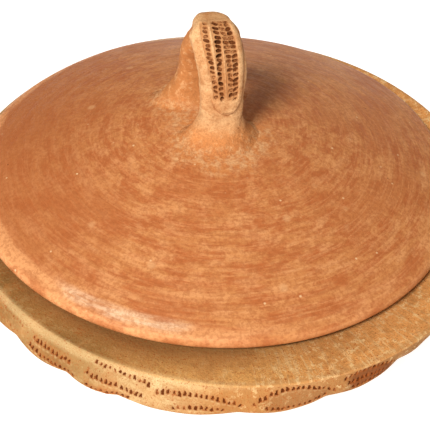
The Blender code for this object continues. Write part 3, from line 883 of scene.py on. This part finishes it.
class Clay:
    """A clay material in the making: its nodes, and its colour as laid so far."""

    def __init__(self, name, color):
        self.material = bpy.data.materials.new(name)
        self.material.use_nodes = True
        self.tree = self.material.node_tree
        self.shader = self.tree.nodes["Principled BSDF"]
        self.place = self.node("ShaderNodeTexCoord").outputs["Object"]
        self.x, self.y, self.z = self.node("ShaderNodeSeparateXYZ", {0: self.place}).outputs
        self.color = (*color, 1.0)

    def feed(self, socket, value):
        """Links another node's output to a socket, or sets the socket to a plain value."""
        if isinstance(value, bpy.types.NodeSocket):
            self.tree.links.new(value, socket)
        else:
            socket.default_value = value

    def node(self, kind, inputs=None, **settings):
        """A node with its own settings and its inputs, each a plain value or an output."""
        node = self.tree.nodes.new(kind)
        for label, value in settings.items():
            setattr(node, label, value)
        for key, value in (inputs or {}).items():
            self.feed(node.inputs[key], value)
        return node

    def maths(self, operation, first, second):
        """The result of a maths node."""
        return self.node("ShaderNodeMath", {0: first, 1: second}, operation=operation).outputs[0]

    def times(self, product, *factors):
        """The product of values."""
        for factor in factors:
            product = self.maths("MULTIPLY", product, factor)
        return product

    def shifted(self, value, other, gain, middle=0.0):
        """The value plus gain times how far the other lies above its middle."""
        return self.maths("ADD", value, self.times(self.maths("SUBTRACT", other, middle), gain))

    def between(self, value, low, high, to_low=0.0, to_high=1.0):
        """A value drawn from one range to another with soft ends, held beyond them."""
        inputs = {"Value": value, "From Min": low, "From Max": high, "To Min": to_low, "To Max": to_high}
        return self.node("ShaderNodeMapRange", inputs, interpolation_type="SMOOTHSTEP").outputs["Result"]

    def noise(self, vector, *settings):
        """A noise's value, from its scale, detail, roughness and distortion."""
        inputs = dict(zip(("Vector", "Scale", "Detail", "Roughness", "Distortion"), (vector, *settings)))
        return self.node("ShaderNodeTexNoise", inputs).outputs["Fac"]

    def attribute(self, label):
        """A number kept on the mesh's points."""
        return self.node("ShaderNodeAttribute", attribute_name=label).outputs["Fac"]

    def vector(self, operation, first, second=None, **more):
        """The outputs of a vector node."""
        inputs = {0: first, **({} if second is None else {1: second}), **more}
        return self.node("ShaderNodeVectorMath", inputs, operation=operation).outputs

    def level_from(self, centre):
        """The level vector from a centre, and its length."""
        moved = self.vector("ADD", self.place, (-centre[0], -centre[1], 0.0))[0]
        flat = self.vector("MULTIPLY", moved, (1.0, 1.0, 0.0))[0]
        return flat, self.vector("LENGTH", flat)["Value"]

    def rings(self, centre, turns, rings):
        """Coordinates that run round a centre with no seam: the direction's cosine and sine
        times turns, and the radius times rings."""
        flat, radius = self.level_from(centre)
        spread = self.vector("SCALE", self.vector("NORMALIZE", flat)[0], Scale=turns)[0]
        x, y, _ = self.node("ShaderNodeSeparateXYZ", {0: spread}).outputs
        return self.node("ShaderNodeCombineXYZ", {0: x, 1: y, 2: self.times(radius, rings)}).outputs[0]

    def specks(self, scale, size, few):
        """Small round specks: cells whose random value is high, within a short distance."""
        cells = self.node("ShaderNodeTexVoronoi", {"Vector": self.place, "Scale": scale}).outputs
        chosen = self.node("ShaderNodeSeparateColor", {0: cells["Color"]}).outputs[0]
        near = self.between(cells["Distance"], size, 0.4 * size)
        return self.times(near, self.between(chosen, 1.0 - few, 1.0 - 0.6 * few))

    def mix(self, factor, first, second):
        """Two colours mixed by a factor."""
        return self.node("ShaderNodeMix", {0: factor, 6: first, 7: second}, data_type="RGBA").outputs[2]

    def lay(self, factor, color, gain=1.0):
        """Lays a tinted colour over the colour so far."""
        self.color = self.mix(factor, self.color, (*tinted(color, gain), 1.0))

    def layers(self, *rows):
        """Lays colours in order, each where a value goes from low to high, up to most."""
        for value, low, high, most, color, gain in rows:
            self.lay(self.between(value, low, high, 0.0, most), color, gain)

    def finish(self, roughness, specular, bumps):
        """Feeds the shader with the colour, the roughness and bumps in a chain, one for each
        (height, distance, strength)."""
        inputs = self.shader.inputs
        self.feed(inputs["Base Color"], self.color)
        self.feed(inputs["Roughness"], roughness)
        inputs["Specular IOR Level"].default_value = specular
        normal = {}
        for bump in bumps:
            heights = dict(zip(("Height", "Distance", "Strength"), bump))
            normal = {"Normal": self.node("ShaderNodeBump", {**heights, **normal}).outputs[0]}
        self.feed(inputs["Normal"], normal["Normal"])
        return self.material


def dish_clay(dish, name):
    """Scraped buff clay: olive at the left and more orange at the right, paler on the rim's side, sandy, with
    wiped strokes across the ledge and brown in the stamped marks. The marks' brown is partly painted shade,
    and the colour also holds painted shade towards the lid, under the rim and on the rim's side at the right,
    and painted highlights along the crest, on the marks' lips and on the rim's side at the left."""
    clay = Clay(name, dish.clay_left)
    to_right = clay.shifted(clay.x, clay.noise(clay.place, 14.0, 3.0), 0.10)
    radius = clay.level_from((0.0, 0.0))[1]
    streak = clay.noise(clay.rings((0.0, 0.0), 4.0, 300.0), 1.0, 3.0, 0.6)
    wiped = clay.noise(clay.rings((0.0, 0.0), 70.0, 60.0), 1.0, 4.0, 0.7)
    blotch = clay.noise(clay.place, 55.0, 6.0, 0.66)
    mottle = clay.noise(clay.place, 260.0, 5.0, 0.72)
    grain = clay.noise(clay.place, 900.0, 3.0, 0.7)
    clay.layers((to_right, -0.048, 0.048, 1.0, dish.clay, 1.0),
                (to_right, 0.050, 0.150, 1.0, dish.clay_right, 1.0))

    # The rim's side: pale at the left, warm in the middle, brown at the far right; the pale left is partly a
    # painted highlight and the darker right partly painted shade
    on_side = clay.times(clay.between(clay.z, 0.0615, 0.0602), clay.between(radius, 0.145, 0.149))
    to_middle = clay.between(to_right, 0.028, 0.060, 1.0, 0.12)
    clay.lay(clay.times(on_side, to_middle, clay.between(to_right, -0.040, 0.022, 0.06, 1.0)), dish.clay_side)
    # Warmer and darker from the middle to the right, partly painted shade
    edge = clay.maths("MAXIMUM", on_side, clay.between(radius, 0.1510, 0.1530, 0.0, 0.5))
    clay.lay(clay.times(edge, clay.between(to_right, 0.030, 0.056)), dish.clay_right, 0.58)
    clay.lay(clay.times(on_side, clay.between(to_right, 0.072, 0.100, 0.0, 0.20)), dish.clay_side)
    # Brown at the far right, partly painted shade
    clay.lay(clay.times(on_side, clay.between(to_right, 0.108, 0.130, 0.0, 0.80)), dish.clay_right, 0.40)

    # Streaks, wiped strokes and mottling, stronger at the right
    rough = clay.between(to_right, 0.02, 0.11, 0.22, 1.0)
    clay.layers((streak, 0.42, 0.70, 0.22, dish.clay_right, 0.72))
    strokes = clay.times(clay.between(wiped, 0.52, 0.60, 0.0, 0.50), clay.maths("SUBTRACT", rough, on_side))
    clay.lay(strokes, dish.clay_side, 1.25)
    clay.layers((blotch, 0.48, 0.57, 0.48, dish.clay_right, 0.62))
    clay.lay(clay.times(clay.between(mottle, 0.54, 0.61, 0.0, 0.60), rough), dish.clay_side, 1.32)
    clay.layers((mottle, 0.46, 0.38, 0.50, dish.clay_right, 0.50))

    # Darker towards the lid, stronger at the left: painted shade, with partly darker clay. Darker under the
    # rim and paler along the crest: painted shade and a painted highlight
    inner = clay.times(clay.between(radius, 0.150, 0.134), clay.between(to_right, -0.02, 0.12, 0.95, 0.12))
    clay.lay(inner, dish.clay_right, 0.36)
    # A painted highlight along the crest, stronger at the left
    crest = clay.times(clay.between(radius, 0.1500, 0.1530), clay.between(radius, 0.1550, 0.1536))
    clay.lay(clay.times(crest, clay.between(to_right, 0.040, 0.070, 0.42, 0.12)), dish.clay_side)
    clay.lay(clay.specks(260.0, 0.16, 0.06), dish.clay_right, 0.40)
    # Painted shade under the rim
    low = clay.shifted(clay.z, mottle, 0.010)
    clay.layers((low, 0.0560, 0.0500, 0.55, dish.clay_right, 0.48),
                (grain, 0.56, 0.38, 0.45, dish.clay_right, 0.50))

    # The stamped marks: the pressed field and the marks are brown, partly stain and partly painted shade in
    # their hollows
    clay.lay(clay.times(clay.attribute("pressed"), 0.45), PRESSED_BROWN)
    near = clay.times(clay.attribute("near"), clay.between(mottle, 0.38, 0.60, 0.25, 1.0))
    clay.lay(clay.times(near, 0.36), dish.stain_and_shade, 2.0)
    # A painted highlight on the raised lip under each mark
    clay.lay(clay.times(clay.attribute("lip"), 0.50), dish.clay_side, 1.15)
    ragged = clay.shifted(clay.attribute("mark"), grain, 2.4, 0.5)
    clay.layers((ragged, 0.10, 0.36, 0.70, dish.stain_and_shade, 2.1), (ragged, 0.36, 0.70, 0.96, dish.stain_and_shade, 0.70))
    bumps = ((wiped, 0.0010, 0.30), (mottle, 0.0012, 0.40), (grain, 0.0005, 0.60))
    return clay.finish(clay.between(blotch, 0.3, 0.7, 0.86, 0.70), 0.08, bumps)


def foot_smear(clay, handle, ragged):
    """1 on the dome close round the handle's feet, with a ragged edge: from the distance to
    each foot's middle, less the noise."""
    smears = []
    for (along, _), lean in ((FRONT_PATH[0], strap_lean(0.0)), (REAR_PATH[3], strap_lean(1.0))):
        x, y, _ = handle_points(handle, along, float(lean), 0.0)
        away = clay.shifted(clay.level_from((x, y))[1], ragged, -0.030)
        smears.append(clay.between(away, SMEAR_REACH, SMEAR_REACH - 0.012))
    return clay.maths("MAXIMUM", *smears)


def burnish(clay, lid, handle):
    """Lays the burnished dome's colour: short strokes in rings, paler and redder, over ragged patches, redder
    at the left and darker there as painted shade, sandy round the feet, with a pale lip, brightest at the
    left as a painted highlight, and a painted highlight on the shoulder at the front left. Gives the strokes'
    noises and the radius."""
    radius = clay.level_from(LID_CENTRE)[1]
    broad = clay.noise(clay.rings(LID_CENTRE, 5.0, 130.0), 1.0, 5.0, 0.66)
    stroke = clay.noise(clay.rings(LID_CENTRE, 9.0, 460.0), 1.0, 4.0, 0.68)
    patch = clay.noise(clay.rings(LID_CENTRE, 6.0, 150.0), 1.0, 6.0, 0.62, 0.2)
    hair = clay.noise(clay.rings(LID_CENTRE, 4.5, 800.0), 1.0, 2.0, 0.5)
    sand = clay.noise(clay.place, 60.0, 6.0, 0.68)
    cloud = clay.noise(clay.place, 15.0, 4.0, 0.60)
    grain = clay.noise(clay.place, 480.0, 3.0, 0.70)
    left = clay.shifted(clay.x, cloud, 0.08)
    clay.color = (*lid.clay_dark, 1.0)
    clay.layers((broad, 0.40, 0.58, 1.0, lid.clay, 1.0),
                (stroke, 0.50, 0.66, 0.42, lid.clay_pale, 1.0),
                (stroke, 0.46, 0.34, 0.38, lid.clay_dark, 1.0),
                (patch, 0.50, 0.64, 0.50, lid.clay_pale, 1.0),
                (sand, 0.50, 0.66, 0.26, lid.clay_pale, 1.08),
                (cloud, 0.48, 0.36, 0.50, lid.clay_dark, 1.0),
                (hair, 0.54, 0.66, 0.26, lid.clay_pale, 1.05),
                (hair, 0.47, 0.36, 0.24, lid.clay_dark, 0.85),
                # Redder at the left, and darker there as painted shade
                (left, 0.012, -0.090, 0.74, lid.clay_dark, 0.88))
    # A pale lip band of scumble, brightest at the left as a painted highlight
    lip = clay.times(clay.between(radius, 0.1305, 0.1345), clay.between(patch, 0.36, 0.56, 0.15, 0.85),
                     clay.between(left, -0.020, 0.090, 0.90, 0.15))
    clay.lay(lip, lid.clay_pale, 1.15)
    # A painted highlight on the shoulder at the front left
    painted_highlight = clay.times(clay.between(radius, 0.1290, 0.1335), clay.between(radius, 0.1385, 0.1355),
                       clay.between(left, -0.034, -0.010), clay.between(left, 0.034, 0.010),
                       clay.between(stroke, 0.40, 0.58, 0.25, 0.70))
    clay.lay(painted_highlight, PAINTED_HIGHLIGHT_PALE)
    crumbs = clay.between(clay.noise(clay.place, 210.0, 5.0, 0.7), 0.42, 0.62)
    sandy = clay.mix(crumbs, (*tinted(handle.clay_low, 0.92), 1.0), (*handle.clay, 1.0))
    clay.color = clay.mix(clay.times(foot_smear(clay, handle, sand), 0.75), clay.color, sandy)
    clay.layers((grain, 0.58, 0.38, 0.42, lid.clay_dark, 0.75))
    return broad, stroke, radius


def lid_clay(lid, handle, name):
    """Burnished red clay with pale grit and dark pinholes, glossier where it was rubbed."""
    clay = Clay(name, lid.clay)
    grain = clay.noise(clay.place, 1000.0, 3.0, 0.65)
    broad, stroke, radius = burnish(clay, lid, handle)
    clay.lay(clay.times(clay.specks(170.0, 0.15, 0.14), 0.75), GRIT)
    clay.lay(clay.times(clay.specks(60.0, 0.20, 0.22), 0.40), COARSE_GRIT)
    clay.lay(clay.times(clay.specks(120.0, 0.09, 0.10), 0.90), PINHOLE)
    clay.shader.inputs["Specular Tint"].default_value = (1.0, 0.74, 0.50, 1.0)
    rubbed = clay.between(radius, 0.060, 0.125, 0.10, 0.0)
    roughness = clay.maths("ADD", rubbed, clay.between(stroke, 0.35, 0.65, 0.38, 0.56))
    bumps = ((broad, 0.0008, 0.25), (stroke, 0.0005, 0.45), (grain, 0.0003, 0.40))
    return clay.finish(roughness, 0.40, bumps)


def handle_clay(handle, lid, name):
    """Hand-smoothed clay, paler than the dome, more orange towards its feet, more orange behind and darker
    there as painted shade, with brown in the punches, partly painted shade, and painted shade in the crease
    round the panel and on the flat top."""
    clay = Clay(name, handle.clay)
    blotch = clay.noise(clay.place, 75.0, 6.0, 0.66)
    smear = clay.noise(clay.place, 260.0, 5.0, 0.72)
    grain = clay.noise(clay.place, 950.0, 3.0, 0.7)
    clay.layers((clay.z, LID_BASE + 0.056, LID_BASE + 0.040, 1.0, handle.clay_low, 1.0),
                # More orange behind, and darker there as painted shade on the rear leg
                (clay.y, 0.000, 0.014, 1.0, handle.clay_low, 0.80),
                (blotch, 0.47, 0.60, 0.45, handle.clay_low, 0.85),
                (smear, 0.53, 0.61, 0.42, handle.clay, 1.15),
                (smear, 0.46, 0.38, 0.50, handle.clay_low, 0.62))
    clay.lay(clay.specks(240.0, 0.15, 0.12), handle.clay_low, 0.40)

    # The strap's own colour gives way to the dome's with a ragged edge
    joins = clay.between(clay.shifted(clay.attribute("onto_dome"), blotch, 0.9, 0.5), 0.45, 0.75)
    strap = clay.color
    burnish(clay, lid, handle)
    clay.color = clay.mix(joins, strap, clay.color)

    # Painted shade in the crease round the panel, the pressed field, and the punches' brown, partly painted
    # shade
    clay.lay(clay.times(clay.attribute("crease"), 0.55), handle.stain_and_shade, 2.2)
    clay.layers((grain, 0.56, 0.38, 0.42, handle.clay_low, 0.60))
    clay.lay(clay.times(clay.attribute("pressed"), 0.66), handle.clay_low, 0.66)
    ragged = clay.shifted(clay.attribute("mark"), grain, 2.0, 0.5)
    clay.layers((ragged, 0.15, 0.75, 0.95, handle.stain_and_shade, 1.0), (ragged, 0.75, 1.20, 0.75, handle.stain_and_shade, 0.40))
    # Painted shade on the flat top, which sets it apart from the front
    top = clay.between(clay.z, LID_BASE + 0.1067, LID_BASE + 0.10695, 0.0, 0.26)
    clay.lay(clay.times(top, clay.between(smear, 0.40, 0.58, 0.35, 1.0)), handle.clay_low, 0.66)
    rough_foot = clay.times(smear, clay.between(clay.z, LID_BASE + 0.075, LID_BASE + 0.045, 0.45, 1.0))
    bumps = ((rough_foot, 0.0018, 0.60), (blotch, 0.0012, 0.35), (grain, 0.0005, 0.50))
    return clay.finish(clay.between(blotch, 0.3, 0.7, 0.80, 0.62), 0.10, bumps)


# The stage

# The camera fitted to the photograph: its focal length in pixels, its distance in lid radii
SENSOR_WIDTH = 36.0
FOCAL_PIXELS = 941.0
PHOTO_PIXELS = 430.0
FITTED_RADIUS = 0.14
FITTED_HEIGHT = 0.0621
LENS_DISTANCE = 4.0
CAMERA_ELEVATION = math.radians(39.94)
CAMERA_ROLL = math.radians(3.59)
CAMERA_TARGET = Vector((-0.038 * FITTED_RADIUS, -0.246 * FITTED_RADIUS, FITTED_HEIGHT))
FLOOR_REACH = 3.0
FLOOR_POINTS = 9
LIGHT_AIM = Vector((0.0, 0.0, 0.08))
# Each light's name, place, size, power setting and colour
LIGHTS = (
    ("key", (-1.15, -2.18, 2.46), 0.85, "key_power", (1.0, 0.95, 0.87)),
    ("front_fill", (-0.15, -1.30, 0.42), 0.90, "front_power", (1.0, 0.93, 0.82)),
    ("back_light", (0.35, 2.20, 0.95), 1.60, "back_power", (1.0, 0.86, 0.68)),
)


def make_camera():
    """The photograph's view: above the front, a little rolled."""
    data = bpy.data.cameras.new("photo_view")
    data.lens = SENSOR_WIDTH * FOCAL_PIXELS / PHOTO_PIXELS
    data.sensor_width = SENSOR_WIDTH
    data.clip_start = 0.01
    camera = bpy.data.objects.new("photo_view", data)
    bpy.context.scene.collection.objects.link(camera)
    distance = LENS_DISTANCE * FITTED_RADIUS
    level, above = distance * math.cos(CAMERA_ELEVATION), distance * math.sin(CAMERA_ELEVATION)
    at = Vector((0.0, -level, above + FITTED_HEIGHT))
    forward = (CAMERA_TARGET - at).normalized()
    right = forward.cross(Vector((0.0, 0.0, 1.0))).normalized()
    up = right.cross(forward)
    rolled_right = right * math.cos(CAMERA_ROLL) + up * math.sin(CAMERA_ROLL)
    rolled_up = up * math.cos(CAMERA_ROLL) - right * math.sin(CAMERA_ROLL)
    turn = Matrix((rolled_right, rolled_up, -forward)).transposed()
    camera.matrix_world = Matrix.Translation(at) @ turn.to_4x4()
    bpy.context.scene.camera = camera


def make_light(name, place_at, size, power, color):
    """A soft square light that faces the pot."""
    data = bpy.data.lights.new(name, "AREA")
    data.size = size
    data.energy = power
    data.color = color
    light = bpy.data.objects.new(name, data)
    bpy.context.scene.collection.objects.link(light)
    light.location = place_at
    light.rotation_euler = (LIGHT_AIM - Vector(place_at)).to_track_quat("-Z", "Y").to_euler()


def make_floor(stage):
    """A level square of pale floor under the pot."""
    reach = np.linspace(-FLOOR_REACH, FLOOR_REACH, FLOOR_POINTS)
    x, y = np.meshgrid(reach, reach, indexing="ij")
    index = np.arange(FLOOR_POINTS ** 2).reshape(FLOOR_POINTS, FLOOR_POINTS)
    faces = np.stack((index[:-1, :-1], index[1:, :-1], index[1:, 1:], index[:-1, 1:]), axis=-1).reshape(-1, 4)
    mesh = bpy.data.meshes.new("pale_floor")
    mesh.from_pydata(np.stack((x, y, 0.0 * x), axis=-1).reshape(-1, 3).tolist(), [], faces.tolist())
    mesh.update()
    floor = bpy.data.objects.new("pale_floor", mesh)
    bpy.context.scene.collection.objects.link(floor)
    material = bpy.data.materials.new("pale_floor")
    material.use_nodes = True
    shader = material.node_tree.nodes["Principled BSDF"]
    shader.inputs["Base Color"].default_value = (*stage.floor, 1.0)
    shader.inputs["Roughness"].default_value = 0.9
    shader.inputs["Emission Color"].default_value = (1.0, 1.0, 1.0, 1.0)
    shader.inputs["Emission Strength"].default_value = 0.88
    mesh.materials.append(material)


# Operators and panel

class POT_OT_dish_body(Operator):
    """Adds the dish's inside, ledge, crest and wall."""

    bl_idname = "pot.dish_body"
    bl_label = "Dish"

    def execute(self, context):
        make_dish_body(context.scene.pot_dish)
        return {"FINISHED"}


class POT_OT_stamped_band(Operator):
    """Adds the rim's lobed side with its stamped marks."""

    bl_idname = "pot.stamped_band"
    bl_label = "Stamped band"

    def execute(self, context):
        make_stamped_band(context.scene.pot_dish)
        return {"FINISHED"}


class POT_OT_lid_dome(Operator):
    """Adds the lid's dome and lip."""

    bl_idname = "pot.lid_dome"
    bl_label = "Lid"

    def execute(self, context):
        make_lid_dome(context.scene.pot_lid, context.scene.pot_handle)
        return {"FINISHED"}


class POT_OT_handle(Operator):
    """Adds the strap handle and its stamped panel."""

    bl_idname = "pot.handle"
    bl_label = "Handle"

    def execute(self, context):
        make_handle_strap(context.scene.pot_handle, context.scene.pot_lid)
        make_stamped_panel(context.scene.pot_handle, context.scene.pot_lid)
        return {"FINISHED"}


class POT_OT_stage(Operator):
    """Adds the floor, the lights and the camera."""

    bl_idname = "pot.stage"
    bl_label = "Stage"

    def execute(self, context):
        stage = context.scene.pot_stage
        make_floor(stage)
        make_camera()
        for name, place_at, size, power, color in LIGHTS:
            make_light(name, place_at, size, getattr(stage, power), color)
        world = bpy.data.worlds.new("warm_room")
        world.use_nodes = True
        background = world.node_tree.nodes["Background"].inputs
        background["Color"].default_value = (1.0, 0.69, 0.42, 1.0)
        background["Strength"].default_value = stage.fill
        context.scene.world = world
        context.scene.view_settings.view_transform = "Standard"
        return {"FINISHED"}


class POT_PT_sidebar(Panel):
    """Lists the pot's pieces, sizes and colours."""

    bl_label = "Clay pot"
    bl_idname = "POT_PT_sidebar"
    bl_space_type = "VIEW_3D"
    bl_region_type = "UI"
    bl_category = "Clay pot"

    def draw(self, context):
        for settings, steps in STEPS.items():
            box = self.layout.box()
            group = getattr(context.scene, settings)
            for label in group.__annotations__:
                box.prop(group, label)
            for step in steps:
                box.operator(step)


GROUPS = {"pot_dish": DishSettings, "pot_lid": LidSettings,
          "pot_handle": HandleSettings, "pot_stage": StageSettings}
STEPS = {"pot_dish": ("pot.dish_body", "pot.stamped_band"), "pot_lid": ("pot.lid_dome",),
         "pot_handle": ("pot.handle",), "pot_stage": ("pot.stage",)}
OPERATORS = (POT_OT_dish_body, POT_OT_stamped_band, POT_OT_lid_dome, POT_OT_handle, POT_OT_stage)


def register():
    for group in (*GROUPS.values(), *OPERATORS, POT_PT_sidebar):
        bpy.utils.register_class(group)
    for label, group in GROUPS.items():
        setattr(bpy.types.Scene, label, PointerProperty(type=group))


def unregister():
    for label in GROUPS:
        delattr(bpy.types.Scene, label)
    for group in reversed((*GROUPS.values(), *OPERATORS, POT_PT_sidebar)):
        bpy.utils.unregister_class(group)


def main():
    register()
    bpy.ops.pot.dish_body()
    bpy.ops.pot.stamped_band()
    bpy.ops.pot.lid_dome()
    bpy.ops.pot.handle()
    bpy.ops.pot.stage()


if __name__ == "__main__":
    main()
